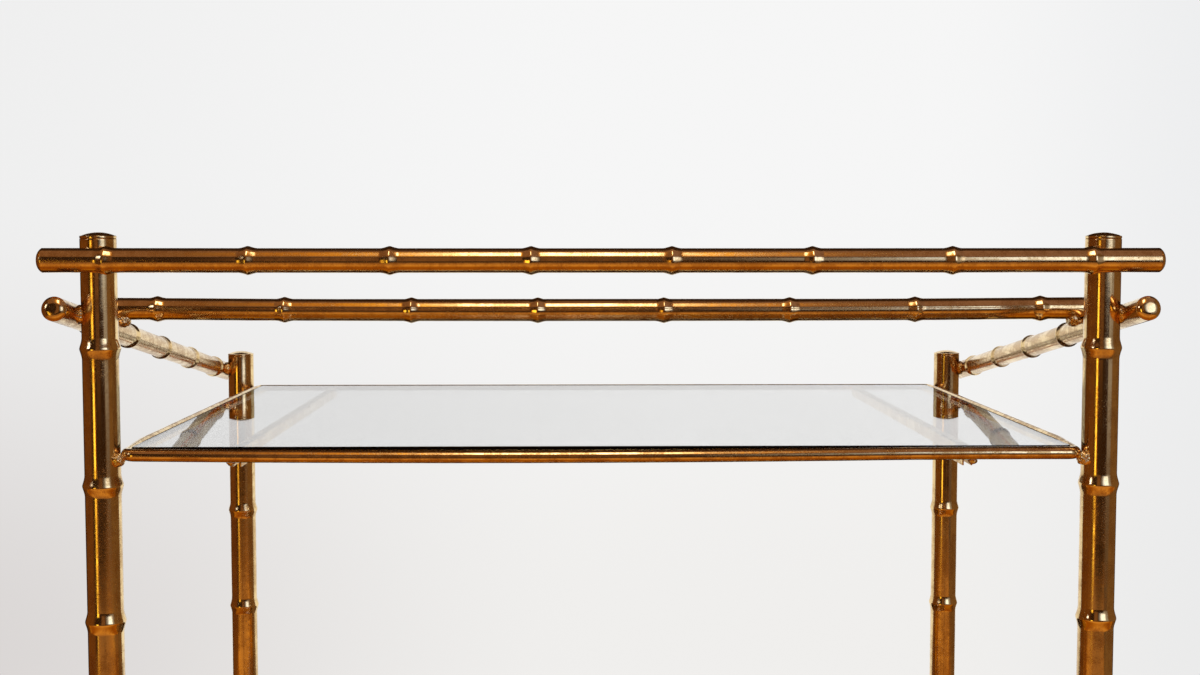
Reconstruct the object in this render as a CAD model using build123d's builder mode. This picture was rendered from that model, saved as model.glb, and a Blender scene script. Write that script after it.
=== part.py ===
from build123d import *

import os
from math import asin, atan2, cos, sin

os.makedirs("parts", exist_ok=True)

# A two-shelf serving cart in brass bamboo tube. X runs along the handle, Y from the handle
# side to the rear, Z up. The origin is on the floor, at the centre of the four legs.

# Driving sizes in millimetres

# Legs: bamboo tube, axis to axis, and how far the tubes rise above the upper shelf
leg_spacing_x = 624.0
leg_spacing_y = 402.0
leg_diameter = 22.0
leg_wall = 1.2
front_leg_rise = 129.3
rear_leg_rise = 26.6
leg_ring_length = 13.0
leg_ring_rise = 1.45
rings_per_bay = 5
ring_below_frame = 15.6
ring_below_side_rail = 21.1

# Shelves: height of the upper frame's top, and the drop to the lower one
upper_shelf_height = 626.0
shelf_gap = 428.0

# Rails: thinner bamboo tube, placed by how far their axes lie below the legs' ends
rail_diameter = 15.0
rail_wall = 1.0
rail_ring_length = 9.5
rail_ring_rise = 1.35
handle_drop = 13.0
handle_overhang = 27.8
handle_rings = 8
handle_ring_inset = 10.4
side_rail_front_drop = 46.8
side_rail_rear_drop = 11.6
side_rail_overhang = 28.3
side_rail_rings = 5
side_ring_front_inset = 40.6
side_ring_rear_inset = 24.6
cross_rail_before_ring = 32.4
cross_rail_overhang = 9.2

# Caps that plug the tube ends: domed on the legs, flat with a rounded edge on the rails
cap_rim = 1.0
cap_seam = 0.4
cap_spigot = 8.0
leg_cap_dome = 3.3
rail_cap_height = 3.9
rail_cap_rounding = 3.0
plug_clearance = 0.05

# Shelf frames: a bar rounded on its outer side, with a rebate for the glass
frame_top_width = 6.0
frame_flat = 0.6
frame_corner = 10.0
frame_leg_overhang = 7.5
ledge_thickness = 2.5
ledge_width = 7.0
ledge_corner = 3.0
rebate_corner = 4.0
glass_thickness = 5.0
glass_below_rim = 1.1
glass_side_gap = 0.6
glass_edge_chamfer = 0.6

# Bearers: inverted channels that cross under the glass from front to rear
bearer_inset = 70.6
bearer_width = 6.5
bearer_depth = 7.6
bearer_wall = 1.1

# Brazed joints: the gap that the braze fills, and each bead's radius and place
braze_gap = 0.1
rail_bead = 6.5
cross_bead = 4.2
cross_bead_shift = 6.4
corner_bead = 5.4
corner_bead_shift = 4.0
corner_bead_inset = 0.7
corner_bead_rise = 0.8
bearer_bead = 2.8
bearer_bead_drop = 2.0
bearer_bead_inset = 0.6

# Casters
wheel_diameter = 40.0
tyre_width = 13.0
tyre_thickness = 5.5
tyre_shoulder = 2.5
tyre_seat_gap = 0.05
rim_inset = 2.0
rim_depth = 3.0
web_thickness = 5.0
hub_diameter = 13.0
hub_proud = 1.0
axle_diameter = 6.0
rivet_rim = 1.8
rivet_head = 1.6
running_clearance = 0.05
fork_side_gap = 0.6
fork_wall = 2.5
fork_inner_bend = 1.0
fork_plate_length = 27.0
fork_boss_radius = 7.5
wheel_trail = 12.0
wheel_top_gap = 3.2
stem_diameter = 8.0
swivel_gap = 0.3
washer_thickness = 1.5
washer_inset = 2.0
socket_flange = 3.0
socket_overhang = 1.0
socket_chamfer = 0.8
socket_spigot = 24.0

# Worked out from the sizes above
leg_radius = leg_diameter / 2
leg_bore = leg_radius - leg_wall
rail_radius = rail_diameter / 2
rail_bore = rail_radius - rail_wall
half_x = leg_spacing_x / 2
half_y = leg_spacing_y / 2
wheel_radius = wheel_diameter / 2
fork_inner_top = wheel_diameter + wheel_top_gap
fork_top = fork_inner_top + fork_wall
washer_bottom = fork_top + swivel_gap
leg_bottom = washer_bottom + washer_thickness + socket_flange
front_leg_top = upper_shelf_height + front_leg_rise
rear_leg_top = upper_shelf_height + rear_leg_rise
seat_below_rim = glass_below_rim + glass_thickness
frame_height = seat_below_rim + ledge_thickness
ring_pitch = shelf_gap / rings_per_bay

sides = {"left": -1, "right": 1}
shelves = {"upper": upper_shelf_height, "lower": upper_shelf_height - shelf_gap}
corners = {
    "front_left": (-half_x, -half_y),
    "front_right": (half_x, -half_y),
    "rear_left": (-half_x, half_y),
    "rear_right": (half_x, half_y),
}


def save(piece, name):
    """Label a finished piece and write it as one file."""
    piece.part.label = name
    export_step(piece.part, f"parts/{name}.step")


def group(pieces):
    """Several separate solids as one piece."""
    with BuildPart() as together:
        for piece in pieces:
            add(piece.part)
    return together


def axis_plane(origin, direction, normal=(0, 1, 0)):
    """A plane whose local x runs along a turning axis, so that local y is the radius."""
    return Plane(origin=origin, x_dir=direction, z_dir=normal)


def turned(plane, outline):
    """Revolve a closed outline of (along, radius) points about the plane's local x."""
    with BuildPart() as piece:
        with BuildSketch(plane):
            with BuildLine():
                Polyline(*outline, close=True)
            make_face()
        revolve(axis=Axis(plane.origin, plane.x_dir))
    return piece


def bamboo(plane, length, radius, bore, rings, ring_length, ring_rise):
    """A tube with swollen rings, each two tapers that meet in a crest."""
    outline = [(0, bore), (0, radius)]
    for place in rings:
        outline.append((place - ring_length / 2, radius))
        outline.append((place, radius + ring_rise))
        outline.append((place + ring_length / 2, radius))
    outline += [(length, radius), (length, bore)]
    return turned(plane, outline)


def cap(plane, radius, bore, edge, crown, head):
    """A spigot in the tube's bore, and a head whose side runs in an arc to its end."""
    spigot = bore - plug_clearance
    with BuildPart() as plug:
        with BuildSketch(plane):
            with BuildLine():
                Polyline(
                    *head,
                    (-cap_spigot, 0),
                    (-cap_spigot, spigot),
                    (0, spigot),
                    (0, radius - cap_seam),
                    (cap_seam, radius),
                    edge,
                )
                ThreePointArc(edge, crown, head[0])
            make_face()
        revolve(axis=Axis(plane.origin, plane.x_dir))
    return plug


def leg_cap(plane):
    """A shallow dome over a thin rim."""
    sphere = (leg_radius**2 + leg_cap_dome**2) / (2 * leg_cap_dome)
    height = cap_rim + leg_cap_dome
    middle = asin(leg_radius / sphere) / 2
    crown = (height - sphere + sphere * cos(middle), sphere * sin(middle))
    return cap(plane, leg_radius, leg_bore, (cap_rim, leg_radius), crown, [(height, 0)])


def rail_cap(plane):
    """A flat head with a rounded edge."""
    flat = rail_radius - rail_cap_rounding
    start = rail_cap_height - rail_cap_rounding
    reach = rail_cap_rounding / 2**0.5
    head = [(rail_cap_height, flat), (rail_cap_height, 0)]
    return cap(plane, rail_radius, rail_bore, (start, rail_radius), (start + reach, flat + reach), head)


def bead(centre, axis, radius, neighbours):
    """A ball of braze, cut by the solid outlines of the pieces that it joins."""
    with BuildPart() as braze:
        with Locations(Plane(origin=centre, z_dir=axis)):
            Sphere(radius)
        for neighbour in neighbours:
            add(neighbour.part, mode=Mode.SUBTRACT)
    return braze


# Slope and height of the side rails, whose axes fall evenly from the front legs to the rear

side_rail_front = front_leg_top - side_rail_front_drop
side_rail_rear = rear_leg_top - side_rail_rear_drop
slope = atan2(side_rail_front - side_rail_rear, leg_spacing_y)
side_direction = Vector(0, cos(slope), -sin(slope))
side_normal = Vector(0, sin(slope), cos(slope))

# Legs


def leg_rings(name):
    """Heights up a leg: an even row down from the upper frame, and one under the side rail."""
    highest = upper_shelf_height - frame_height - ring_below_frame
    lowest = leg_bottom + leg_ring_length
    count = int((highest - lowest) / ring_pitch) + 1
    heights = [highest - n * ring_pitch for n in reversed(range(count))]
    under_rail = side_rail_front - ring_below_side_rail
    if name.startswith("front") and under_rail > upper_shelf_height + leg_ring_length:
        heights.append(under_rail)
    return [height - leg_bottom for height in heights]


leg_cores = {}
leg_caps = []
for name, (x, y) in corners.items():
    top = front_leg_top if name.startswith("front") else rear_leg_top
    plane = axis_plane((x, y, leg_bottom), (0, 0, 1))
    ring = (leg_rings(name), leg_ring_length, leg_ring_rise)
    save(bamboo(plane, top - leg_bottom, leg_radius, leg_bore, *ring), f"{name}_leg")
    capped = top + cap_rim + leg_cap_dome - leg_bottom
    leg_cores[name] = bamboo(plane, capped, leg_radius, 0, *ring)
    end = axis_plane((x, y, top), (0, 0, 1))
    leg_caps.append(leg_cap(end))
save(group(leg_caps), "leg_caps")

# Side rails, on the outer sides of the legs


def rail(start, direction, normal, length, rings):
    """A rail, its solid outline and its two end caps."""
    plane = axis_plane(start, direction, normal)
    ring = (rings, rail_ring_length, rail_ring_rise)
    tube = bamboo(plane, length, rail_radius, rail_bore, *ring)
    core = bamboo(plane, length, rail_radius, 0, *ring)
    ends = (
        axis_plane(start, -direction, normal),
        axis_plane(start + direction * length, direction, normal),
    )
    return tube, core, [rail_cap(end) for end in ends]


side_x = half_x + leg_radius + braze_gap + rail_radius
side_span = leg_spacing_y / cos(slope)
side_margin = side_rail_overhang / cos(slope)
side_pitch = (side_span - side_ring_front_inset - side_ring_rear_inset) / (side_rail_rings - 1)
side_rings = [side_margin + side_ring_front_inset + n * side_pitch for n in range(side_rail_rings)]
side_cores = {}
side_caps = []
for side, sign in sides.items():
    start = Vector(sign * side_x, -half_y, side_rail_front) - side_direction * side_margin
    length = side_span + 2 * side_margin
    tube, core, caps = rail(start, side_direction, (1, 0, 0), length, side_rings)
    save(tube, f"{side}_side_rail")
    side_cores[side] = core
    side_caps += caps
save(group(side_caps), "side_rail_caps")

# Handle rail in front of the legs, and cross rail on top of the side rails


def straight_rail(y, z, half_length):
    pitch = (leg_spacing_x - 2 * handle_ring_inset) / (handle_rings - 1)
    rings = [half_length + (n - (handle_rings - 1) / 2) * pitch for n in range(handle_rings)]
    start = Vector(-half_length, y, z)
    return rail(start, Vector(1, 0, 0), (0, 1, 0), 2 * half_length, rings)


handle_y = -half_y - leg_radius - braze_gap - rail_radius
handle_z = front_leg_top - handle_drop
handle_tube, handle_core, handle_caps = straight_rail(handle_y, handle_z, half_x + handle_overhang)
save(handle_tube, "handle_rail")
save(group(handle_caps), "handle_rail_caps")

cross_along = side_ring_front_inset + side_pitch - cross_rail_before_ring
cross_seat = Vector(0, -half_y, side_rail_front) + side_direction * cross_along
cross_axis = cross_seat + side_normal * (rail_diameter + braze_gap)
half_length = side_x + cross_rail_overhang
cross_tube, cross_core, cross_caps = straight_rail(cross_axis.Y, cross_axis.Z, half_length)
save(cross_tube, "cross_rail")
save(group(cross_caps), "cross_rail_caps")

# Brazed beads where the tubes cross

handle_beads = []
for side, sign in sides.items():
    centre = (sign * half_x, -half_y - leg_radius - braze_gap / 2, handle_z)
    joined = (leg_cores[f"front_{side}"], handle_core)
    handle_beads.append(bead(centre, (0, 1, 0), rail_bead, joined))
save(group(handle_beads), "handle_rail_braze")

side_beads = []
for name, (x, y) in corners.items():
    side = name.split("_")[1]
    height = side_rail_front if y < 0 else side_rail_rear
    centre = (sides[side] * (half_x + leg_radius + braze_gap / 2), y, height)
    joined = (leg_cores[name], side_cores[side])
    side_beads.append(bead(centre, (1, 0, 0), rail_bead, joined))
save(group(side_beads), "side_rail_braze")

cross_beads = []
for side, sign in sides.items():
    contact = cross_seat + side_normal * ((rail_diameter + braze_gap) / 2)
    centre = (sign * (side_x - cross_bead_shift), contact.Y, contact.Z)
    joined = (side_cores[side], cross_core)
    cross_beads.append(bead(centre, side_normal, cross_bead, joined))
save(group(cross_beads), "cross_rail_braze")

# Shelf frames, glass and bearers

frame_x = leg_spacing_x - leg_diameter - 2 * braze_gap
frame_y = leg_spacing_y + 2 * frame_leg_overhang
rebate_x = frame_x - 2 * frame_top_width
rebate_y = frame_y - 2 * frame_top_width
ledge_y = rebate_y / 2 - ledge_width
bearer_x = frame_x / 2 - bearer_inset


def frame_outline(top):
    """The frame before its rebate and opening are cut."""
    with BuildPart() as outline:
        with BuildSketch(Plane.XY.offset(top - frame_height)):
            RectangleRounded(frame_x, frame_y, frame_corner)
        extrude(amount=frame_height)
        rims = outline.faces().sort_by(Axis.Z)
        rounding = (frame_height - frame_flat) / 2
        fillet(rims[0].edges() + rims[-1].edges(), radius=rounding)
    return outline


def shelf_frame(top):
    with BuildPart() as frame:
        add(frame_outline(top).part)
        with BuildSketch(Plane.XY.offset(top)):
            RectangleRounded(rebate_x, rebate_y, rebate_corner)
        extrude(amount=-seat_below_rim, mode=Mode.SUBTRACT)
        with BuildSketch(Plane.XY.offset(top)):
            RectangleRounded(rebate_x - 2 * ledge_width, 2 * ledge_y, ledge_corner)
        extrude(amount=-frame_height, mode=Mode.SUBTRACT)
    return frame


def frame_half(frame, keep):
    """One of the two bent bars, which meet half way along each side."""
    with BuildPart() as half:
        add(frame.part)
        split(bisect_by=Plane.XZ, keep=keep)
    return half


def glass_sheet(top):
    with BuildPart() as sheet:
        with BuildSketch(Plane.XY.offset(top - seat_below_rim)):
            width = rebate_x - 2 * glass_side_gap
            depth = rebate_y - 2 * glass_side_gap
            RectangleRounded(width, depth, rebate_corner - glass_side_gap)
        extrude(amount=glass_thickness)
        faces = sheet.faces().sort_by(Axis.Z)
        chamfer(faces[0].edges() + faces[-1].edges(), length=glass_edge_chamfer)
    return sheet


def bearer_outline(x, top):
    """The bearer as a solid bar, which butts against the frame's ledges."""
    with BuildPart() as bar:
        with BuildSketch(Plane.XZ.offset(-ledge_y)):
            with Locations((x, top - seat_below_rim)):
                Rectangle(bearer_width, bearer_depth, align=(Align.CENTER, Align.MAX))
        extrude(amount=2 * ledge_y)
    return bar


def bearer(x, top):
    with BuildPart() as channel:
        add(bearer_outline(x, top).part)
        with BuildSketch(Plane.XZ.offset(-ledge_y)):
            with Locations((x, top - seat_below_rim - bearer_wall)):
                hollow = bearer_width - 2 * bearer_wall
                Rectangle(hollow, bearer_depth, align=(Align.CENTER, Align.MAX))
        extrude(amount=2 * ledge_y, mode=Mode.SUBTRACT)
    return channel


for level, top in shelves.items():
    frame = shelf_frame(top)
    outline = frame_outline(top)
    bottom = top - frame_height
    save(frame_half(frame, Keep.TOP), f"{level}_frame_front")
    save(frame_half(frame, Keep.BOTTOM), f"{level}_frame_rear")
    save(glass_sheet(top), f"{level}_glass")
    beads = []
    for side, sign in sides.items():
        save(bearer(sign * bearer_x, top), f"{level}_{side}_bearer")
        joined = (outline, bearer_outline(sign * bearer_x, top))
        bead_x = sign * (bearer_x + (bearer_width - bearer_wall) / 2)
        bead_y = ledge_y - bearer_bead_inset
        for end in (-bead_y, bead_y):
            centre = (bead_x, end, bottom - bearer_bead_drop)
            beads.append(bead(centre, (1, 0, 0), bearer_bead, joined))
    for name, (x, y) in corners.items():
        inward = -1 if x > 0 else 1
        outward = 1 if y > 0 else -1
        bead_x = x + inward * (leg_radius + corner_bead_inset)
        centre = (bead_x, y + outward * corner_bead_shift, bottom + corner_bead_rise)
        beads.append(bead(centre, (1, 0, 0), corner_bead, (outline, leg_cores[name])))
    save(group(beads), f"{level}_frame_braze")

# Casters: the socket and washer stay with the leg, the fork swivels and the wheel turns

stem_bore = stem_diameter / 2 + running_clearance
disc_radius = wheel_radius - tyre_thickness
hub_length = tyre_width + 2 * hub_proud
fork_inner = hub_length + 2 * fork_side_gap
fork_outer = fork_inner + 2 * fork_wall


def mirrored(half_outline):
    """A whole outline from the half on the negative side of the turning axis's middle."""
    return half_outline + [(-along, radius) for along, radius in reversed(half_outline)]


def wheel_plane(x, y):
    return axis_plane((x, y + wheel_trail, wheel_radius), (1, 0, 0))


def socket(x, y):
    """A turned bush, plugged into the leg as far as its flange."""
    spigot = leg_bore - plug_clearance
    flange = leg_radius + socket_overhang
    outline = [
        (-socket_flange, stem_bore),
        (-socket_flange, flange - socket_chamfer),
        (-socket_flange + socket_chamfer, flange),
        (0, flange),
        (0, spigot),
        (socket_spigot, spigot),
        (socket_spigot, stem_bore),
    ]
    return turned(axis_plane((x, y, leg_bottom), (0, 0, 1)), outline)


def washer(x, y):
    outer = leg_radius + socket_overhang - washer_inset
    outline = [
        (0, stem_bore),
        (0, outer),
        (washer_thickness, outer),
        (washer_thickness, stem_bore),
    ]
    return turned(axis_plane((x, y, washer_bottom), (0, 0, 1)), outline)


def stem(x, y):
    """A pin riveted under the fork's plate and spread over the top of the socket."""
    pin = stem_diameter / 2
    reach = leg_bottom + socket_spigot + swivel_gap - fork_inner_top
    outline = [
        (-rivet_head, 0),
        (-rivet_head, pin + rivet_rim),
        (0, pin + rivet_rim),
        (0, pin),
        (reach, pin),
        (reach + rivet_head, pin + rivet_rim),
        (reach + rivet_head, 0),
    ]
    return turned(axis_plane((x, y, fork_inner_top), (0, 0, 1)), outline)


def fork(x, y):
    """A bent plate, flat under the leg, with arms that taper back and down to the axle."""
    with BuildPart() as yoke:
        with BuildSketch(Plane.YZ.offset(x)):
            with BuildLine():
                CenterArc((y + wheel_trail, wheel_radius), fork_boss_radius, 0, 360)
                Polyline(
                    (y - fork_plate_length / 2, fork_inner_top),
                    (y - fork_plate_length / 2, fork_top),
                    (y + fork_plate_length / 2, fork_top),
                    (y + fork_plate_length / 2, fork_inner_top),
                )
            make_hull()
        extrude(amount=fork_outer / 2, both=True)
        bends = yoke.faces().sort_by(Axis.Z)[-1].edges().filter_by(Axis.Y)
        fillet(bends, radius=fork_wall + fork_inner_bend)
        with BuildSketch(Plane.XZ.offset(-y)):
            with Locations((x, fork_inner_top)):
                between = Rectangle(fork_inner, fork_inner_top, align=(Align.CENTER, Align.MAX))
            fillet(between.vertices().group_by(Axis.Y)[-1], radius=fork_inner_bend)
        extrude(amount=2 * wheel_diameter, both=True, mode=Mode.SUBTRACT)
        with BuildSketch(Plane.YZ.offset(x)):
            with Locations((y + wheel_trail, wheel_radius)):
                Circle(axle_diameter / 2 + plug_clearance)
        extrude(amount=fork_outer, both=True, mode=Mode.SUBTRACT)
        with BuildSketch(Plane.XY.offset(fork_top)):
            with Locations((x, y)):
                Circle(stem_diameter / 2 + plug_clearance)
        extrude(amount=-fork_wall, mode=Mode.SUBTRACT)
    return yoke


def axle(x, y):
    """A pin riveted outside both arms of the fork."""
    pin = axle_diameter / 2
    outline = [
        (-fork_outer / 2 - rivet_head, 0),
        (-fork_outer / 2 - rivet_head, pin + rivet_rim),
        (-fork_outer / 2, pin + rivet_rim),
        (-fork_outer / 2, pin),
    ]
    return turned(wheel_plane(x, y), mirrored(outline))


def wheel_disc(x, y):
    """A hub, a thin web and a rim that carries the tyre."""
    rim = disc_radius - tyre_seat_gap
    rim_half = tyre_width / 2 - rim_inset
    outline = [
        (-hub_length / 2, axle_diameter / 2 + running_clearance),
        (-hub_length / 2, hub_diameter / 2),
        (-web_thickness / 2, hub_diameter / 2),
        (-web_thickness / 2, rim - rim_depth),
        (-rim_half, rim - rim_depth),
        (-rim_half, rim),
    ]
    return turned(wheel_plane(x, y), mirrored(outline))


def tyre(x, y):
    """A flat tread between two bevelled shoulders."""
    half = tyre_width / 2
    outline = [
        (-half, disc_radius),
        (-half, wheel_radius - tyre_shoulder),
        (-half + tyre_shoulder, wheel_radius),
    ]
    return turned(wheel_plane(x, y), mirrored(outline))


save(group([socket(x, y) for x, y in corners.values()]), "caster_sockets")
save(group([washer(x, y) for x, y in corners.values()]), "caster_washers")
for name, (x, y) in corners.items():
    save(stem(x, y), f"{name}_caster_stem")
    save(fork(x, y), f"{name}_caster_fork")
    save(axle(x, y), f"{name}_caster_axle")
    save(wheel_disc(x, y), f"{name}_wheel_disc")
    save(tyre(x, y), f"{name}_tyre")
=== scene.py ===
from math import asin, atan2, cos, pi, radians, sin, sqrt

import bpy
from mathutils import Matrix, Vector


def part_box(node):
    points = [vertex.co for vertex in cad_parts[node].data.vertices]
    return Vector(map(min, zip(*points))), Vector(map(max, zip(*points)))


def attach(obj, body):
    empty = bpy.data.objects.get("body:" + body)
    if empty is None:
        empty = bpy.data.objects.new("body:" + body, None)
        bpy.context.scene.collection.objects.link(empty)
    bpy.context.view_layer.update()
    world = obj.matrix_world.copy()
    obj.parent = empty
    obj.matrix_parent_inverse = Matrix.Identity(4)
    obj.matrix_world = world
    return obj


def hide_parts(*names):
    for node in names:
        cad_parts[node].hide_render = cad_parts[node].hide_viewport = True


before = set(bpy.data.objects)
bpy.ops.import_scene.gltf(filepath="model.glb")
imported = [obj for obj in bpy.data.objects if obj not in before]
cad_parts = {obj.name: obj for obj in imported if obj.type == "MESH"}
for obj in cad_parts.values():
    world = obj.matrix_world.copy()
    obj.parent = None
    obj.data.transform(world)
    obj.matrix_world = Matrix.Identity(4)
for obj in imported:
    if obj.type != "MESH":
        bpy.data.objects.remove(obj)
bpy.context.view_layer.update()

bl_info = {
    "name": "Brass Bamboo Bar Cart",
    "version": (1, 0, 0),
    "blender": (4, 5, 0),
    "location": "3D View > Sidebar > Bar Cart",
    "description": "Dresses the bar cart's frame in turned brass bamboo, glass and casters",
    "category": "Object",
}

CORNERS = ("front_left", "front_right", "rear_left", "rear_right")
SHELVES = ("upper", "lower")
SIDES = (("left", -1), ("right", 1))
ASIDE, UP = Vector((1, 0, 0)), Vector((0, 0, 1))

# Sizes in metres that the frame doesn't give: walls, and how the rings lie on the tubes
WALLS = {"leg": 0.0012, "rail": 0.001}
RINGS_PER_BAY = 5
RINGS_BELOW_UPPER_SHELF = 7
RING_BELOW_FRAME_TOP = 0.0242
RING_BELOW_SIDE_RAIL = 0.0211
STRAIGHT_RAIL_RINGS = 8
STRAIGHT_RING_INSET = 0.0208
SIDE_RAIL_RINGS = 5
SIDE_RING_FRONT_INSET, SIDE_RING_REAR_INSET = 0.0406, 0.0246
GLASS_LIFT = 0.0010
STEM_RADIUS, PIN_RADIUS = 0.0040, 0.0030
RUNNING_GAP = 0.00005
RIVET_HEAD, RIVET_RIM = 0.0016, 0.0018
PIN_STEPS = 24
SPIGOT, DOME_STEPS = 0.008, 14


def span(node, axis):
    """Lowest and highest place of a node along one axis."""
    low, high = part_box(node)
    return low[axis], high[axis]


def middle(node, axis):
    return sum(span(node, axis)) / 2


def size(node, axis):
    low, high = span(node, axis)
    return high - low


# Settings


def length_setting(name, description, default, low):
    return bpy.props.FloatProperty(name=name, description=description, default=default, min=low,
                                   unit="LENGTH", subtype="DISTANCE")


def colour_setting(name, description, default):
    return bpy.props.FloatVectorProperty(name=name, description=description, default=default,
                                         min=0.0, max=1.0, size=4, subtype="COLOR")


class CartTubes(bpy.types.PropertyGroup):
    leg_diameter: length_setting(
        "Leg diameter", "Outer diameter of the leg tube between its rings", 0.022, 0.005)
    leg_ring_length: length_setting(
        "Leg ring length", "Length of a swollen ring on a leg", 0.0132, 0.001)
    leg_ring_rise: length_setting(
        "Leg ring rise", "How far a leg's ring stands out from the tube", 0.00145, 0.0)
    rail_diameter: length_setting(
        "Rail diameter", "Outer diameter of the rails between their rings", 0.015, 0.005)
    rail_ring_length: length_setting(
        "Rail ring length", "Length of a swollen ring on a rail", 0.0116, 0.001)
    rail_ring_rise: length_setting(
        "Rail ring rise", "How far a rail's ring stands out from the tube", 0.00135, 0.0)
    steps: bpy.props.IntProperty(
        name="Steps", description="Facets round a tube", default=56, min=12, max=128)


class CartFinish(bpy.types.PropertyGroup):
    brass: colour_setting("Brass", "Colour of clean brass", (0.89, 0.66, 0.33, 1.0))
    tarnish: colour_setting(
        "Tarnish", "Colour of brass under its brown patina", (0.55, 0.33, 0.12, 1.0))
    polish: bpy.props.FloatProperty(
        name="Polish", description="Roughness of clean brass", default=0.08, min=0.0, max=1.0,
        subtype="FACTOR")


class CartStudio(bpy.types.PropertyGroup):
    floor_radius: length_setting(
        "Floor radius", "Radius of the pale floor under the cart", 1.25, 0.5)


# Modelling helpers


def object_mode():
    bpy.ops.object.mode_set(mode="OBJECT")


def place_in_mesh():
    """Put the selected objects' place, turn and size into their meshes."""
    bpy.ops.object.transform_apply(location=True, rotation=True, scale=True)


def leave_all():
    """Object mode, with nothing selected."""
    if bpy.context.object and bpy.context.object.mode != "OBJECT":
        object_mode()
    bpy.ops.object.select_all(action="DESELECT")


def take(piece):
    """Select one object alone and make it active."""
    leave_all()
    piece.select_set(True)
    bpy.context.view_layer.objects.active = piece


def edit(piece):
    """Edit mode, with all of one mesh selected."""
    take(piece)
    bpy.ops.object.mode_set(mode="EDIT")
    bpy.ops.mesh.select_mode(type="VERT")
    bpy.ops.mesh.select_all(action="SELECT")


def call(piece, name):
    """Name an object and its mesh."""
    piece.name = piece.data.name = name
    return piece


def select_where(piece, test, kind="vertices"):
    """In edit mode, select only the vertices, edges or faces whose centre passes a test."""
    bpy.ops.mesh.select_all(action="DESELECT")
    bpy.ops.mesh.select_mode(type={"vertices": "VERT", "edges": "EDGE", "polygons": "FACE"}[kind])
    object_mode()
    centres = {"vertices": lambda item: item.co, "polygons": lambda item: item.center,
               "edges": lambda item: sum((piece.data.vertices[index].co
                                          for index in item.vertices), Vector()) / 2}
    for item in getattr(piece.data, kind):
        item.select = bool(test(centres[kind](item), item))
    bpy.ops.object.mode_set(mode="EDIT")


def settle(piece, angle=32):
    """Close seams, point faces outwards, smooth by angle and put the place into the mesh."""
    edit(piece)
    bpy.ops.mesh.remove_doubles(threshold=0.000002)
    bpy.ops.mesh.select_all(action="SELECT")
    bpy.ops.mesh.normals_make_consistent(inside=False)
    object_mode()
    place_in_mesh()
    bpy.ops.object.shade_smooth_by_angle(angle=radians(angle))
    return piece


def apply_modifier(piece, kind, **values):
    take(piece)
    modifier = piece.modifiers.new(kind.title(), kind)
    for key, value in values.items():
        setattr(modifier, key, value)
    bpy.ops.object.modifier_apply(modifier=modifier.name)


def bevel_edges(piece, width, segments, angle, **values):
    """Round the edges that are sharper than an angle."""
    apply_modifier(piece, "BEVEL", width=width, segments=segments, limit_method="ANGLE",
                   angle_limit=radians(angle), **values)


def join(pieces, name):
    """Several meshes as one piece."""
    take(pieces[0])
    for piece in pieces[1:]:
        piece.select_set(True)
    bpy.ops.object.join()
    return call(pieces[0], name)


def sink(piece, test, depth, reach):
    """Lower the vertices that pass a test, and less and less what lies around them."""
    edit(piece)
    select_where(piece, test)
    bpy.ops.transform.translate(value=(0, 0, -depth), use_proportional_edit=True,
                                proportional_edit_falloff="INVERSE_SQUARE", proportional_size=reach)
    object_mode()


def block(place, sides):
    """A box, left in edit mode, with its size in its mesh."""
    leave_all()
    bpy.ops.mesh.primitive_cube_add(size=1, location=place)
    piece = bpy.context.object
    edit(piece)
    bpy.ops.transform.resize(value=sides)
    return piece


def rod(place, radius, length, turn=0.0, vertices=32):
    """A round bar: upright, or along X with a quarter turn."""
    leave_all()
    bpy.ops.mesh.primitive_cylinder_add(vertices=vertices, radius=radius, depth=length,
                                        location=place, rotation=(0, turn, 0))
    return bpy.context.object


def turned(name, start, along, outline, closed=False, side=None, steps=None):
    """Draw an outline of (distance along, radius) points by extruding a point, and spin it."""
    start, along = Vector(start), Vector(along).normalized()
    side = Vector(side) if side else along.orthogonal().normalized()
    leave_all()
    bpy.ops.mesh.primitive_plane_add(size=0.001, location=(0, 0, 0))
    piece = call(bpy.context.object, name)
    places = [start + along * a + side * r for a, r in outline]
    edit(piece)
    bpy.ops.mesh.merge(type="CENTER")
    bpy.ops.transform.translate(value=places[0])
    for last, place in zip(places, places[1:]):
        bpy.ops.mesh.extrude_vertices_move(TRANSFORM_OT_translate={"value": place - last})
    if closed:
        first, final = places[0], places[-1]
        select_where(piece, lambda co, v: min((co - first).length, (co - final).length) < 1e-7)
        bpy.ops.mesh.edge_face_add()
    bpy.ops.mesh.select_all(action="SELECT")
    bpy.ops.mesh.spin(steps=steps or bpy.context.scene.cart_tubes.steps, angle=2 * pi,
                      use_auto_merge=True, center=start, axis=along)
    return settle(piece)


def arc(centre, radius, start, end, count):
    """Points of an arc in the outline's plane, angles in degrees from the along direction."""
    angles = [radians(start + (end - start) * n / count) for n in range(count + 1)]
    return [(centre[0] + radius * cos(a), centre[1] + radius * sin(a)) for a in angles]


def mirrored(outline):
    return outline + [(-along, radius) for along, radius in reversed(outline)]


def ring_outline(place, radius, length, rise, count=9):
    """One bamboo ring: two hollow flares that meet in a small crest."""
    crest, crowding, hollow = 0.13, 1.35, 1.5
    reach = sqrt(1 + crest**2) - crest
    points = []
    for n in range(-count, count + 1):
        share = abs(n / count) ** crowding
        flare = (1 - (sqrt(share**2 + crest**2) - crest) / reach) ** hollow
        sign = -1 if n < 0 else 1
        points.append((place + sign * share * length / 2, radius + rise * flare))
    margin = length / 2 + 0.0005
    return [(place - margin, radius), *points, (place + margin, radius)]


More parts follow.
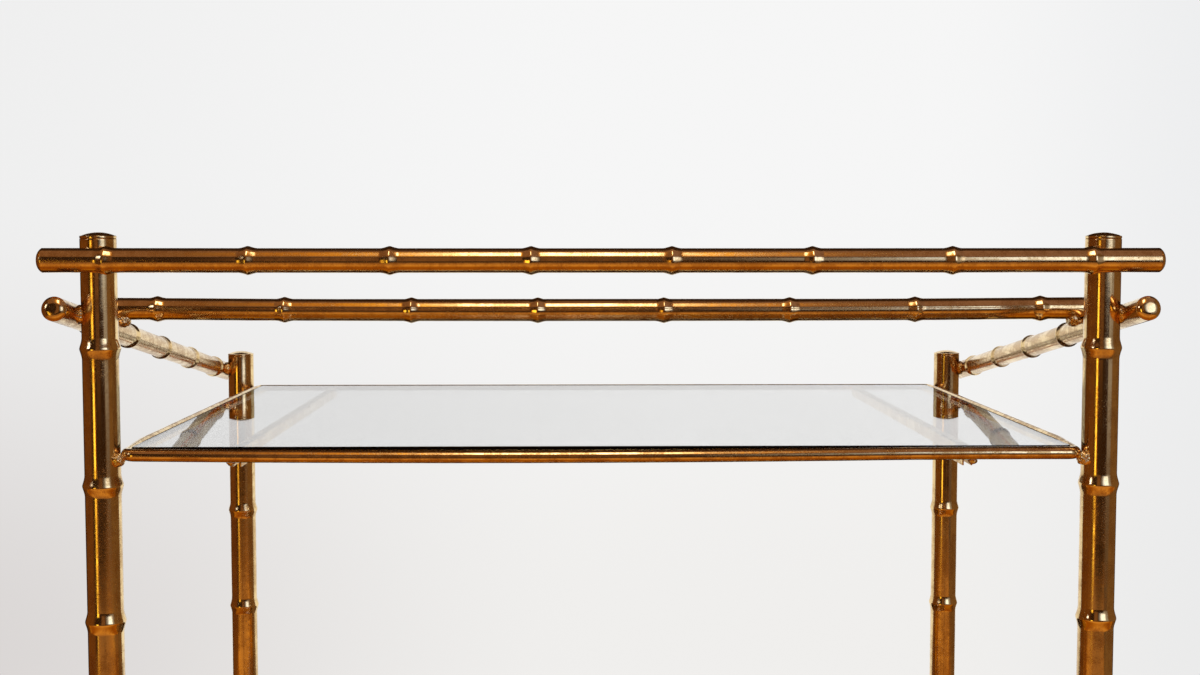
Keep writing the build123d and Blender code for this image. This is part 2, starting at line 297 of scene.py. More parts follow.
def bamboo(name, kind, start, end, rings, side):
    """A leg's or a rail's bamboo tube, with rounded lips and its inner wall.

    Each point keeps how far it stands out from the tube, for the polish on the rings."""
    tubes = bpy.context.scene.cart_tubes
    ring_length, rise = (getattr(tubes, f"{kind}_ring_{part}") for part in ("length", "rise"))
    radius = getattr(tubes, f"{kind}_diameter") / 2
    start, end = Vector(start), Vector(end)
    length, bore, lip = (end - start).length, radius - WALLS[kind], 0.00025
    chamfer = lip * 0.6
    outline = [(chamfer, bore), (0, bore + chamfer), (0, radius - lip)]
    outline += arc((lip, radius - lip), lip, 180, 90, 3)[1:] + [(3 * lip, radius)]
    for place in rings:
        outline += ring_outline(place, radius, ring_length, rise)
    outline += [(length - 3 * lip, radius)] + arc((length - lip, radius - lip), lip, 90, 0, 3)
    outline += [(length, bore + chamfer), (length - chamfer, bore)]
    piece = turned(name, start, end - start, outline, closed=True, side=side)
    along = (end - start).normalized()
    marks = piece.data.attributes.new("swell", "FLOAT", "POINT")
    for vertex in piece.data.vertices:
        offset = vertex.co - start
        out = (offset - along * offset.dot(along)).length - radius
        marks.data[vertex.index].value = max(0.0, min(1.0, out / rise))
    return piece


# Materials


class Value:
    """A number from a node's socket, which takes part in plain arithmetic."""

    def __init__(self, finish, socket):
        self.finish, self.socket = finish, socket

    def maths(self, operation, *values):
        return self.finish.number("Math", {"operation": operation}, *values)

    def __add__(self, other): return self.maths("ADD", self, other)
    def __radd__(self, other): return self.maths("ADD", other, self)
    def __sub__(self, other): return self.maths("SUBTRACT", self, other)
    def __rsub__(self, other): return self.maths("SUBTRACT", other, self)
    def __mul__(self, other): return self.maths("MULTIPLY", self, other)
    def __rmul__(self, other): return self.maths("MULTIPLY", other, self)
    def __truediv__(self, other): return self.maths("DIVIDE", self, other)
    def __abs__(self): return self.maths("ABSOLUTE", self)

    def clamp(self):
        return self.finish.number("Clamp", {}, self)


class Finish:
    """A material, or the world, that is built node by node."""

    def __init__(self, name, world=None):
        self.material = world or bpy.data.materials.new(name)
        self.material.use_nodes = True
        self.tree = self.material.node_tree
        self.tree.nodes.clear()

    def node(self, kind, settings=None, inputs=None):
        node = self.tree.nodes.new(f"ShaderNode{kind}")
        for key, value in (settings or {}).items():
            if key == "stops":
                elements = node.color_ramp.elements
                while len(elements) < len(value):
                    elements.new(0.5)
                while len(elements) > len(value):
                    elements.remove(elements[-1])
                for element, (place, colour) in zip(elements, value):
                    element.position, element.color = place, (*colour, 1.0)
            else:
                setattr(node, key, value)
        for key, value in (inputs or {}).items():
            self.feed(node.inputs[key], value)
        return node

    def feed(self, socket, value):
        if isinstance(value, Value):
            value = value.socket
        if isinstance(value, bpy.types.NodeSocket):
            self.tree.links.new(value, socket)
        else:
            socket.default_value = value

    def number(self, kind, settings, *values):
        return Value(self, self.node(kind, settings, dict(enumerate(values))).outputs[0])

    def place(self, scale=(1, 1, 1), turn=(0, 0, 0)):
        """Object coordinates, turned and stretched along a piece."""
        coordinates = self.node("TexCoord").outputs["Object"]
        return self.node("Mapping", None, {
            "Vector": coordinates, "Rotation": turn, "Scale": scale}).outputs[0]

    def axes(self, vector):
        split = self.node("SeparateXYZ", None, {"Vector": vector})
        return [Value(self, output) for output in split.outputs]

    def ray(self, name):
        return Value(self, self.node("LightPath").outputs[name])

    def noise(self, place, scale, detail=3.0, rough=0.5):
        node = self.node("TexNoise", None, {
            "Vector": place, "Scale": scale, "Detail": detail, "Roughness": rough})
        return Value(self, node.outputs["Fac"])

    def step(self, value, low, high):
        """A smooth rise from 0 to 1 between two values."""
        node = self.node("MapRange", {"interpolation_type": "SMOOTHSTEP"},
                         {"Value": value, "From Min": low, "From Max": high})
        return Value(self, node.outputs["Result"])

    def mix(self, factor, first, second):
        """Blend two colours, given as sockets or as red, green and blue."""
        colours = [(*c, 1.0) if isinstance(c, tuple) else c for c in (first, second)]
        node = self.node("Mix", {"data_type": "RGBA"},
                         {0: factor, 6: colours[0], 7: colours[1]})
        return node.outputs[2]

    def bump(self, height, distance):
        return self.node("Bump", None, {
            "Height": height, "Distance": distance, "Strength": 1.0}).outputs[0]

    def show(self, shader, kind="Material"):
        self.node(f"Output{kind}", None, {"Surface": shader.outputs[0]})
        return self.material

    def principled(self, **inputs):
        names = {key.replace("_", " "): value for key, value in inputs.items()}
        return self.show(self.node("BsdfPrincipled", None, names))

    def veil(self, shader, shown):
        """Show a shader as far as the factor says, and nothing elsewhere."""
        clear = self.node("BsdfTransparent")
        return self.show(self.node("MixShader", None, {
            0: shown, 1: clear.outputs[0], 2: shader.outputs[0]}))


def brass_finish(name, stretch=(1, 1, 1), turn=(0, 0, 0), wear=1.0, dull=0.0, rings=False):
    """Old polished brass: brown patina in clouds and specks, drawing lines along the metal."""
    settings = bpy.context.scene.cart_finish
    finish = Finish(name)
    plain = finish.place()
    clouds = finish.noise(plain, 34.0, 4.0, 0.6)
    blots = finish.noise(plain, 150.0, 4.0, 0.65)
    streaks = finish.noise(finish.place(stretch, turn), 420.0, 3.0, 0.55)
    specks = finish.noise(plain, 1100.0, 2.0, 0.6)
    pits = finish.step(specks, 0.58, 0.68) * finish.step(clouds, 0.40, 0.60) * wear
    stain = clouds * 0.32 + blots * 0.30 + streaks * 0.20 + specks * 0.18
    patina = finish.step(stain, 0.44, 0.57) * wear
    if rings:
        attribute = finish.node("Attribute", {"attribute_name": "swell"})
        swell = Value(finish, attribute.outputs["Fac"])
        rubbed = finish.step(swell, 0.55, 1.0)
        grime = finish.step(swell, 0.0, 0.10) * (1 - finish.step(swell, 0.12, 0.4))
        patina = (patina * (1 - 0.7 * rubbed) + 0.25 * grime).clamp()
    patina = (patina * 0.75 + pits * 0.45).clamp()
    colour = finish.mix(patina, tuple(settings.brass)[:3], tuple(settings.tarnish)[:3])
    rough = settings.polish + dull + patina * 0.13 + pits * 0.12 + streaks * 0.05
    height = streaks * 0.30 + blots * 0.30 + clouds * 0.35 + specks * 0.05 - pits * 0.10
    return finish.principled(Base_Color=colour, Metallic=1.0, Roughness=rough,
                             Normal=finish.bump(height, 0.00008 * (1 + 2 * dull)))


def glass_finish(name):
    """Clear glass with the faintest haze of wiping."""
    finish = Finish(name)
    smears = finish.step(finish.noise(finish.place((1, 0.3, 1)), 9.0, 3.0, 0.6), 0.5, 0.8)
    tint = finish.mix(smears, (0.80, 0.81, 0.81), (0.77, 0.785, 0.785))
    return finish.principled(Base_Color=tint, Roughness=0.002, Transmission_Weight=1.0, IOR=1.5)


def steel_finish(name):
    finish = Finish(name)
    grain = finish.noise(finish.place(), 700.0, 2.0, 0.6)
    tone = finish.mix(grain, (0.60, 0.59, 0.57), (0.44, 0.42, 0.39))
    return finish.principled(Base_Color=tone, Metallic=1.0, Roughness=0.22 + 0.2 * grain,
                             Normal=finish.bump(grain, 0.00005))


def marked_finish(name, plain, marked, grain, marks, share, rough, relief, metallic=0.0):
    """A grained surface with patches of scale, scuffs or dust."""
    finish = Finish(name)
    place = finish.place()
    fine = finish.noise(place, *grain, 0.6)
    scale, detail, roughness, low, high = marks
    patches = finish.step(finish.noise(place, scale, detail, roughness), low, high)
    return finish.principled(Base_Color=finish.mix(patches * share, plain, marked),
                             Roughness=rough[0] + rough[1] * patches, Metallic=metallic,
                             Normal=finish.bump(fine, relief))


# Each finish: its slot, what makes it, and how it is set
FINISHES = {
    "Leg brass": ("leg_brass", brass_finish, {"stretch": (1, 1, 0.03), "rings": True}),
    "Handle brass": ("rail_brass", brass_finish, {"stretch": (0.03, 1, 1), "rings": True}),
    "Side rail brass": ("rail_brass", brass_finish, {
        "stretch": (1, 0.03, 1), "wear": 1.7, "dull": 0.04, "rings": True}),
    "Cap brass": ("cap_brass", brass_finish, {"wear": 0.8}),
    "Frame brass": ("frame_brass", brass_finish, {"stretch": (0.25, 0.25, 1), "wear": 1.35}),
    "Bearer brass": ("bearer_brass", brass_finish, {
        "stretch": (1, 0.05, 1), "wear": 1.4, "dull": 0.12}),
    "Caster brass": ("caster_brass", brass_finish, {"wear": 1.2, "dull": 0.05}),
    "Braze": ("braze", marked_finish, {
        "plain": (0.90, 0.68, 0.36), "marked": (0.44, 0.26, 0.11), "grain": (320.0, 3.0),
        "marks": (760.0, 2.0, 0.6, 0.45, 0.7), "share": 0.6, "rough": (0.10, 0.22),
        "relief": 0.0009, "metallic": 1.0}),
    "Glass": ("glass", glass_finish, {}),
    "Steel": ("steel", steel_finish, {}),
    "Tyre": ("tyre", marked_finish, {
        "plain": (0.022, 0.021, 0.020), "marked": (0.085, 0.078, 0.070), "grain": (1100.0, 2.0),
        "marks": (60.0, 4.0, 0.6, 0.5, 0.8), "share": 0.5, "rough": (0.55, 0.25),
        "relief": 0.00008}),
    "Wheel disc": ("wheel_disc", marked_finish, {
        "plain": (0.030, 0.029, 0.028), "marked": (0.11, 0.105, 0.10), "grain": (800.0, 2.0),
        "marks": (90.0, 4.0, 0.65, 0.52, 0.75), "share": 0.6, "rough": (0.38, 0.2),
        "relief": 0.00005}),
}


def material(name):
    """The material of that name, made when it is first asked for."""
    made = bpy.data.materials.get(name)
    if made:
        return made
    _, make, values = FINISHES[name]
    if name == "Side rail brass":
        values = {**values, "turn": (rail_slope(), 0, 0)}
    return make(name, **values)


def dress(piece, name, body, *nodes):
    """Give a finished piece its material and body, and hide the nodes that it stands for."""
    piece.data.materials.clear()
    piece.data.materials.append(material(name))
    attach(piece, body)
    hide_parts(*nodes)


# Places that several pieces share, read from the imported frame


def leg_axis(corner):
    return Vector((middle(f"{corner}_leg", 0), middle(f"{corner}_leg", 1), 0))


def leg_ends(corner):
    return span(f"{corner}_leg", 2)


def leg_foot(corner):
    return leg_axis(corner) + UP * leg_ends(corner)[0]


def leg_ring_heights(corner):
    """Rings every fifth of the gap between the shelves, and one under the side rail in front."""
    top = span("upper_frame_front", 2)[1]
    pitch = (top - span("lower_frame_front", 2)[1]) / RINGS_PER_BAY
    heights = [top - RING_BELOW_FRAME_TOP - n * pitch for n in range(RINGS_BELOW_UPPER_SHELF)]
    if corner.startswith("front"):
        heights.append(rail_height("left", corner) - RING_BELOW_SIDE_RAIL)
    return sorted(heights)


def rail_radius():
    return bpy.context.scene.cart_tubes.rail_diameter / 2


def rail_slope():
    """The fall of the side rails, from the box of one, whose ends are square to its axis."""
    across = 2 * rail_radius()
    deep, tall = size("left_side_rail", 1), size("left_side_rail", 2)
    slope = atan2(tall, deep)
    for _ in range(12):
        slope = atan2(tall - across * cos(slope), deep - across * sin(slope))
    return slope


def side_rail_line(side):
    """The axis of a side rail from its front end to its rear end, without its caps."""
    low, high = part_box(f"{side}_side_rail")
    x, radius, slope = middle(f"{side}_side_rail", 0), rail_radius(), rail_slope()
    deep, tall = radius * sin(slope), radius * cos(slope)
    return Vector((x, low[1] + deep, high[2] - tall)), Vector((x, high[1] - deep, low[2] + tall))


def rail_height(side, corner):
    """How high a side rail's axis passes a leg."""
    front, rear = side_rail_line(side)
    return front.z + (rear.z - front.z) * (leg_axis(corner).y - front.y) / (rear.y - front.y)


def wheel_centre(corner):
    return Vector([middle(f"{corner}_tyre", axis) for axis in range(3)])


# Operators: one for each group of like pieces


class CART_OT_legs(bpy.types.Operator):
    """Turn the four bamboo legs"""
    bl_idname = "cart.legs"
    bl_label = "Legs"

    def execute(self, context):
        for corner in CORNERS:
            axis, (low, high) = leg_axis(corner), leg_ends(corner)
            rings = [height - low for height in leg_ring_heights(corner)]
            piece = bamboo(f"leg_{corner}", "leg", axis + UP * low, axis + UP * high, rings,
                           side=(0, -1, 0))
            dress(piece, "Leg brass", "cart", f"{corner}_leg")
        return {"FINISHED"}


def plug_outline(radius, spigot_inset, seam_inset, seam):
    """The hidden part of a cap: its plug in the bore, and the seam under its rim."""
    return [(-SPIGOT, 0), (-SPIGOT, radius - spigot_inset), (-0.0006, radius - spigot_inset),
            (-0.0001, radius - seam_inset), (seam, radius - 0.0003)]


class CART_OT_leg_caps(bpy.types.Operator):
    """Turn the domed plugs in the tops of the legs"""
    bl_idname = "cart.leg_caps"
    bl_label = "Leg caps"

    def execute(self, context):
        radius = context.scene.cart_tubes.leg_diameter / 2
        rise, rim, lip = 0.0024, 0.0017, 0.0003
        inner = radius - lip
        sphere = (radius**2 + rise**2) / (2 * rise)
        edge = asin(inner / sphere)
        outline = plug_outline(radius, 0.0014, 0.0006, 0.0002)
        outline += arc((0.00045, inner), lip, 120, 90, 2)
        outline += arc((rim - 0.0001, inner), lip, 90, 40, 3)
        for n in range(DOME_STEPS, -1, -1):
            angle = edge * n / DOME_STEPS
            outline.append((rim + rise - sphere + sphere * cos(angle), sphere * sin(angle)))
        caps = [turned("cap", leg_axis(corner) + UP * leg_ends(corner)[1], UP, outline)
                for corner in CORNERS]
        dress(join(caps, "caps_on_legs"), "Cap brass", "cart", "leg_caps")
        return {"FINISHED"}


def rail_cap(start, along):
    """A plug with a low crowned face that falls away towards its edge."""
    radius, rim, rise, flatness = rail_radius(), 0.0004, 0.0029, 3.6
    outline = plug_outline(radius, 0.0012, 0.0007, 0.00015)
    for n in range(DOME_STEPS + 1):
        across = cos(radians(90 * n / DOME_STEPS))
        outline.append((rim + rise * (1 - across**flatness), radius * across))
    return turned("cap", start, along, outline)


class CART_OT_straight_rails(bpy.types.Operator):
    """Turn the handle rail and the cross rail, with their caps"""
    bl_idname = "cart.straight_rails"
    bl_label = "Handle and cross rails"

    def execute(self, context):
        gaps = STRAIGHT_RAIL_RINGS - 1
        pitch = (2 * leg_axis("front_right").x - STRAIGHT_RING_INSET) / gaps
        for node, shift, stretch, sag in (("handle_rail", -0.0015, 0.996, 0.0002),
                                          ("cross_rail", 0, 1, 0.0013)):
            low, high = span(node, 0)
            y, z = middle(node, 1), middle(node, 2)
            rings = [(high - low) / 2 + shift + (n - gaps / 2) * pitch * stretch
                     for n in range(STRAIGHT_RAIL_RINGS)]
            piece = bamboo(f"{node}_tube", "rail", (low, y, z), (high, y, z), rings,
                           side=(0, 1, 0))
            sink(piece, lambda co, v: abs(co.x) < pitch * 0.6, sag, pitch * 3.2)
            dress(piece, "Handle brass", "cart", node)
            caps = [rail_cap((low, y, z), -ASIDE), rail_cap((high, y, z), ASIDE)]
            dress(join(caps, f"caps_on_{node}"), "Cap brass", "cart", f"{node}_caps")
        return {"FINISHED"}


class CART_OT_side_rails(bpy.types.Operator):
    """Turn the two sloping side rails, with their caps"""
    bl_idname = "cart.side_rails"
    bl_label = "Side rails"

    def execute(self, context):
        caps = []
        for side, sign in SIDES:
            front, rear = side_rail_line(side)
            length = (rear - front).length
            overhang = (length - 2 * leg_axis("rear_right").y / cos(rail_slope())) / 2
            first = overhang + SIDE_RING_FRONT_INSET
            last = length - overhang - SIDE_RING_REAR_INSET
            rings = [first + (last - first) * n / (SIDE_RAIL_RINGS - 1)
                     for n in range(SIDE_RAIL_RINGS)]
            piece = bamboo(f"side_rail_{side}", "rail", front, rear, rings, side=(-sign, 0, 0))
            dress(piece, "Side rail brass", "cart", f"{side}_side_rail")
            caps += [rail_cap(front, front - rear), rail_cap(rear, rear - front)]
        dress(join(caps, "caps_on_side_rails"), "Cap brass", "cart", "side_rail_caps")
        return {"FINISHED"}


def rounded_loop(width, depth, corner, z):
    """A closed loop of edges: a plane with bevelled corners, without its face."""
    leave_all()
    bpy.ops.mesh.primitive_plane_add(size=1, location=(0, 0, z))
    loop = bpy.context.object
    edit(loop)
    bpy.ops.transform.resize(value=(width, depth, 1))
    bpy.ops.mesh.bevel(offset=corner, offset_type="OFFSET", segments=12, profile=0.5,
                       affect="VERTICES")
    bpy.ops.mesh.select_all(action="SELECT")
    bpy.ops.mesh.delete(type="ONLY_FACE")
    select_where(loop, lambda co, edge: min(abs(co.x), abs(co.y)) < 0.001, "edges")
    bpy.ops.mesh.subdivide(number_cuts=11)
    object_mode()
    return loop


def frame_section(top, bottom):
    """(inset, height, corner radius) round the bar's section, from its ledge outwards and back."""
    rounding, corner, ledge = 0.0040, 0.010, top - 0.0061 + GLASS_LIFT
    top += 0.0012
    section = [(0.013, bottom + 0.0002, 0.003), (rounding + 0.0005, bottom, corner - rounding)]
    for level, sign, turns in ((bottom, 1, range(9)), (top, -1, range(8, -1, -1))):
        for n in turns:
            angle = radians(90 * n / 8)
            inset = rounding * (1 - sin(angle))
            section.append((inset, level + sign * rounding * (1 - cos(angle)), corner - inset))
    return section + [(0.0050, top - 0.0002, 0.0050), (0.0057, top - 0.0008, 0.0043),
                      (0.0060, top - 0.0014, 0.0040), (0.0060, ledge, 0.0040),
                      (0.0128, ledge - 0.0002, 0.003), (0.013, ledge - 0.0004, 0.003)]


def frame_ring(width, depth, section):
    """The whole frame: loops of its section, bridged one by one."""
    loops = [rounded_loop(width - 2 * inset, depth - 2 * inset, corner, z)
             for inset, z, corner in section]
    count = len(loops[0].data.vertices)
    whole = join(loops, "frame_whole")
    for n in range(len(section)):
        pair = (n, (n + 1) % len(section))
        edit(whole)
        select_where(whole, lambda co, edge: edge.vertices[0] // count in pair
                     and edge.vertices[0] // count == edge.vertices[1] // count, "edges")
        bpy.ops.mesh.bridge_edge_loops()
        object_mode()
    return settle(whole, 35)


class CART_OT_shelf_frames(bpy.types.Operator):
    """Draw the shelf frames' section from loop to loop and cut each frame into its two halves"""
    bl_idname = "cart.shelf_frames"
    bl_label = "Shelf frames"

    def execute(self, context):
        bar, front_drop, rear_drop = 0.0115, 0.0018, 0.0009
        for level in SHELVES:
            bottom, top = span(f"{level}_frame_front", 2)
            depth = 2 * abs(span(f"{level}_frame_front", 1)[0])
            whole = frame_ring(size(f"{level}_frame_front", 0), depth, frame_section(top, bottom))
            edit(whole)
            for side, drop in ((-1, front_drop), (1, rear_drop)):
                select_where(whole, lambda co, v: co.y * side > depth / 2 - bar
                             and co.z > (top + bottom) / 2)
                bpy.ops.transform.translate(value=(0, 0, -drop))
            object_mode()
            if level == "upper":
                sink(whole, lambda co, v: co.y < 0.02 - depth / 2 and abs(co.x + 0.03) < 0.03,
                     depth=0.0017, reach=0.26)
            take(whole)
            bpy.ops.object.duplicate(linked=False)
            rear = bpy.context.object
            for piece, side, sign in ((whole, "front", -1), (rear, "rear", 1)):
                edit(piece)
                bpy.ops.mesh.bisect(plane_co=(0, 0.00004 * sign, 0), plane_no=(0, sign, 0),
                                    clear_inner=True)
                for end in (-1, 1):
                    select_where(piece, lambda co, edge: abs(co.y) < 0.0001 and co.x * end > 0,
                                 "edges")
                    bpy.ops.mesh.edge_face_add()
                object_mode()
                settle(call(piece, f"frame_{level}_{side}"), 35)
                dress(piece, "Frame brass", "cart", f"{level}_frame_{side}")
        return {"FINISHED"}


class CART_OT_glass(bpy.types.Operator):
    """Cut the two glass shelves, with their ground edges"""
    bl_idname = "cart.glass"
    bl_label = "Glass shelves"

    def execute(self, context):
        for level in SHELVES:
            node = f"{level}_glass"
            low, high = (z + GLASS_LIFT for z in span(node, 2))
            sheet = rounded_loop(size(node, 0), size(node, 1), 0.0034, low)
            edit(sheet)
            bpy.ops.mesh.edge_face_add()
            bpy.ops.mesh.select_all(action="SELECT")
            bpy.ops.mesh.extrude_region_move(TRANSFORM_OT_translate={"value": (0, 0, high - low)})
            object_mode()
            settle(sheet, 35)
            bevel_edges(sheet, 0.0006, 3, 60)
            settle(call(sheet, f"glass_{level}"), 12)
            dress(sheet, "Glass", "cart", node)
        return {"FINISHED"}


class CART_OT_bearers(bpy.types.Operator):
    """Bend the channels under the glass"""
    bl_idname = "cart.bearers"
    bl_label = "Bearers"

    def execute(self, context):
        for level in SHELVES:
            for side, _ in SIDES:
                node = f"{level}_{side}_bearer"
                low, high = (Vector(corner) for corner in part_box(node))
                piece = block((low + high) / 2, high - low)
                select_where(piece, lambda co, face: face.normal.z < -0.5
                             or abs(face.normal.y) > 0.5, "polygons")
                bpy.ops.mesh.delete(type="FACE")
                object_mode()
                place_in_mesh()
                apply_modifier(piece, "SOLIDIFY", thickness=0.0011, offset=-1.0,
                               use_even_offset=True)
                bevel_edges(piece, 0.00035, 3, 40)
                settle(call(piece, f"bearer_{level}_{side}"), 35)
                dress(piece, "Bearer brass", "cart", node)
        return {"FINISHED"}


def braze_lump(place, radii):
    """A lump of filler metal: a ball, squashed and pushed about."""
    leave_all()
    bpy.ops.mesh.primitive_ico_sphere_add(subdivisions=5, radius=1, location=place)
    lump = bpy.context.object
    edit(lump)
    bpy.ops.transform.resize(value=radii)
    object_mode()
    place_in_mesh()
    ripples = bpy.data.textures.new("ripples", "CLOUDS")
    ripples.noise_scale = 0.0026
    apply_modifier(lump, "DISPLACE", texture=ripples, strength=0.0019, mid_level=0.5,
                   texture_coords="LOCAL")
    return lump


class CART_OT_braze(bpy.types.Operator):
    """Melt the filler metal into the joints"""
    bl_idname = "cart.braze"
    bl_label = "Brazed joints"

    def execute(self, context):
        leg = context.scene.cart_tubes.leg_diameter / 2
        handle_z = middle("handle_rail", 2)
        cross_y, cross_z = middle("cross_rail", 1), middle("cross_rail", 2)
        groups = {f"{name}_braze": [] for name in (
            "handle_rail", "side_rail", "cross_rail", "upper_frame", "lower_frame")}
        signs = {"left": -1, "right": 1, "front": -1, "rear": 1}
        bottoms = {level: span(f"{level}_frame_front", 2)[0] for level in SHELVES}
        for corner in CORNERS:
            end, side = corner.split("_")
            axis, sign, facing = leg_axis(corner), signs[side], signs[end]
            groups["side_rail_braze"].append(
                ((axis.x + sign * leg, axis.y, rail_height(side, corner)),
                 (0.0046, 0.0062, 0.0062)))
            if end == "front":
                rail_x = side_rail_line(side)[0].x
                groups["handle_rail_braze"].append(
                    ((axis.x, axis.y - leg, handle_z), (0.0062, 0.0046, 0.0062)))
                groups["cross_rail_braze"].append(
                    ((rail_x - sign * 0.0064, cross_y - 0.0016, cross_z - 0.0078),
                     (0.0048, 0.0046, 0.0046)))
            for level, bottom in bottoms.items():
                groups[f"{level}_frame_braze"].append(
                    ((axis.x - sign * (leg + 0.0003), axis.y + facing * 0.0044, bottom + 0.0009),
                     (0.0041, 0.0042, 0.0044)))
        for level, bottom in bottoms.items():
            for side, sign in SIDES:
                node = f"{level}_{side}_bearer"
                low, high = span(node, 1)
                for end in (low + 0.0006, high - 0.0006):
                    groups[f"{level}_frame_braze"].append(
                        ((middle(node, 0) + sign * 0.0035, end, bottom - 0.0020),
                         (0.0028, 0.0028, 0.0027)))
        for node, lumps in groups.items():
            piece = join([braze_lump(place, radii) for place, radii in lumps], f"{node}_lumps")
            settle(piece, 60)
            dress(piece, "Braze", "cart", node)
        return {"FINISHED"}


def socket_piece(corner):
    """The turned plug in a leg's foot, which the swivel pin runs in."""
    flange, outer, spigot = -0.003, 0.012, 0.00975
    edge, lip, depth, bore = 0.0008, 0.0003, 0.024, STEM_RADIUS + RUNNING_GAP
    outline = [(flange, bore), (flange, outer - edge)]
    outline += arc((flange + edge, outer - edge), edge, 180, 90, 5)[1:]
    outline += arc((-0.0008, outer - lip), lip, 90, 0, 3)
    outline += [(-0.0001, 0.0110), (-0.0001, spigot), (depth - 0.0002, spigot),
                (depth, spigot - 0.00025), (depth, bore)]
    return turned("socket", leg_foot(corner), UP, outline, closed=True)


def washer_piece(corner):
    low, high = -0.0045, -0.003
    bore, outer, edge = STEM_RADIUS + RUNNING_GAP, 0.010, 0.0003
    outline = [(low, bore), (low, outer - edge)]
    outline += arc((low + edge, outer - edge), edge, 180, 90, 3)[1:]
    outline += arc((high - edge, outer - edge), edge, 90, 0, 3)
    outline += [(high, bore)]
    return turned("washer", leg_foot(corner), UP, outline, closed=True)


def stem_piece(corner):
    """The swivel pin, with its rivet head in the fork and its spread end in the leg."""
    low, high = span(f"{corner}_caster_stem", 2)
    length, rim, edge = high - low, STEM_RADIUS + RIVET_RIM, 0.0012
    outline = [(0, 0)]
    outline += arc((RIVET_HEAD * 0.75, rim - edge), edge, 180, 90, 5)
    outline += [(RIVET_HEAD, rim - 0.0001), (RIVET_HEAD, STEM_RADIUS),
                (length - RIVET_HEAD, STEM_RADIUS), (length - RIVET_HEAD, rim),
                (length - 0.0004, rim - 0.0002), (length, rim - edge), (length, 0)]
    return turned(f"stem_{corner}", leg_axis(corner) + UP * low, UP, outline, steps=PIN_STEPS)


def fork_piece(corner):
    """A bent plate: the hull of its plate and its axle bosses, hollowed, drilled and bevelled."""
    low, high = (Vector(v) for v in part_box(f"{corner}_caster_fork"))
    axis, centre = leg_axis(corner), wheel_centre(corner)
    width, top, wall = high.x - low.x, high.z, 0.0025
    boss = rod(centre, 0.0075, width, pi / 2, vertices=48)
    plate = block((axis.x, axis.y, top - wall / 2), (width, 0.027, wall))
    for part in (boss, plate):
        take(part)
        place_in_mesh()
    fork = join([boss, plate], f"fork_{corner}")
    edit(fork)
    bpy.ops.mesh.convex_hull()
    select_where(fork, lambda co, edge: co.z > top - 0.0001
                 and abs(abs(co.x - axis.x) - width / 2) < 0.0001, "edges")
    bpy.ops.mesh.bevel(offset=0.0035, segments=6, profile=0.5, affect="EDGES")
    inside = block((axis.x, axis.y, (top - wall) / 2 - 0.01),
                   (width - 2 * wall, 0.08, top - wall + 0.02))
    select_where(inside, lambda co, edge: co.z > top - wall - 0.0001
                 and abs(co.y - axis.y) < 0.001, "edges")
    bpy.ops.mesh.bevel(offset=0.0010, segments=4, profile=0.5, affect="EDGES")
    object_mode()
    place_in_mesh()
    axle_hole = rod(centre, PIN_RADIUS + RUNNING_GAP, 0.05, pi / 2)
    stem_hole = rod((axis.x, axis.y, top - 0.002), STEM_RADIUS + RUNNING_GAP, 0.02)
    for tool in (inside, axle_hole, stem_hole):
        apply_modifier(fork, "BOOLEAN", object=tool, operation="DIFFERENCE", solver="EXACT")
        bpy.data.objects.remove(tool)
    edit(fork)
    bpy.ops.mesh.remove_doubles(threshold=0.00002)
    bpy.ops.mesh.dissolve_limited(angle_limit=radians(1))
    object_mode()
    bevel_edges(fork, 0.00035, 2, 50, use_clamp_overlap=True)
    return settle(call(fork, f"fork_{corner}"), 30)


def axle_piece(corner):
    """The wheel's pin, with a rivet head outside each arm of the fork."""
    low, high = span(f"{corner}_caster_axle", 0)
    length, rim, rounds = high - low, PIN_RADIUS + RIVET_RIM, 4
    outline = [(0, 0)]
    for n in range(rounds):
        outline.append((RIVET_HEAD * n / rounds, rim * sqrt(1 - 0.75 * (1 - n / rounds) ** 2)))
    outline += [(RIVET_HEAD, rim), (RIVET_HEAD, PIN_RADIUS)]
    outline += [(length - along, radius) for along, radius in reversed(outline)]
    centre = wheel_centre(corner)
    return turned(f"axle_{corner}", (low, centre.y, centre.z), ASIDE, outline, steps=PIN_STEPS)


def disc_piece(corner):
    """Hub, dished web and rim."""
    bore, hub, rim, edge = PIN_RADIUS + RUNNING_GAP, 0.0065, 0.01445, 0.0006
    outline = [(-0.0075, bore), (-0.0075, hub - edge)]
    outline += arc((-0.0069, hub - edge), edge, 180, 90, 4)[1:]
    outline += [(-0.0034, hub), (-0.0027, hub + 0.0003), (-0.0025, hub + 0.0010),
                (-0.0025, rim - 0.0040), (-0.0027, rim - 0.0033), (-0.0034, rim - 0.0030),
                (-0.0042, rim - 0.0030), (-0.0045, rim - 0.0027), (-0.0045, rim)]
    return turned(f"wheel_disc_{corner}", wheel_centre(corner), ASIDE, mirrored(outline),
                  closed=True)


def tyre_piece(corner):
    """A solid tyre with round shoulders and a shallow groove along each side of its tread."""
    radius, half = size(f"{corner}_tyre", 2) / 2, size(f"{corner}_tyre", 0) / 2
    inner, shoulder = 0.0145, 0.0026
    outline = [(-half + 0.0003, inner), (-half, inner + 0.0003), (-half, inner + 0.0012),
               (-half + 0.0003, inner + 0.0016), (-half, inner + 0.0020),
               (-half, radius - shoulder)]
    outline += arc((-half + shoulder, radius - shoulder), shoulder, 180, 90, 8)[1:]
    return turned(f"tyre_{corner}", wheel_centre(corner), ASIDE, mirrored(outline), closed=True)


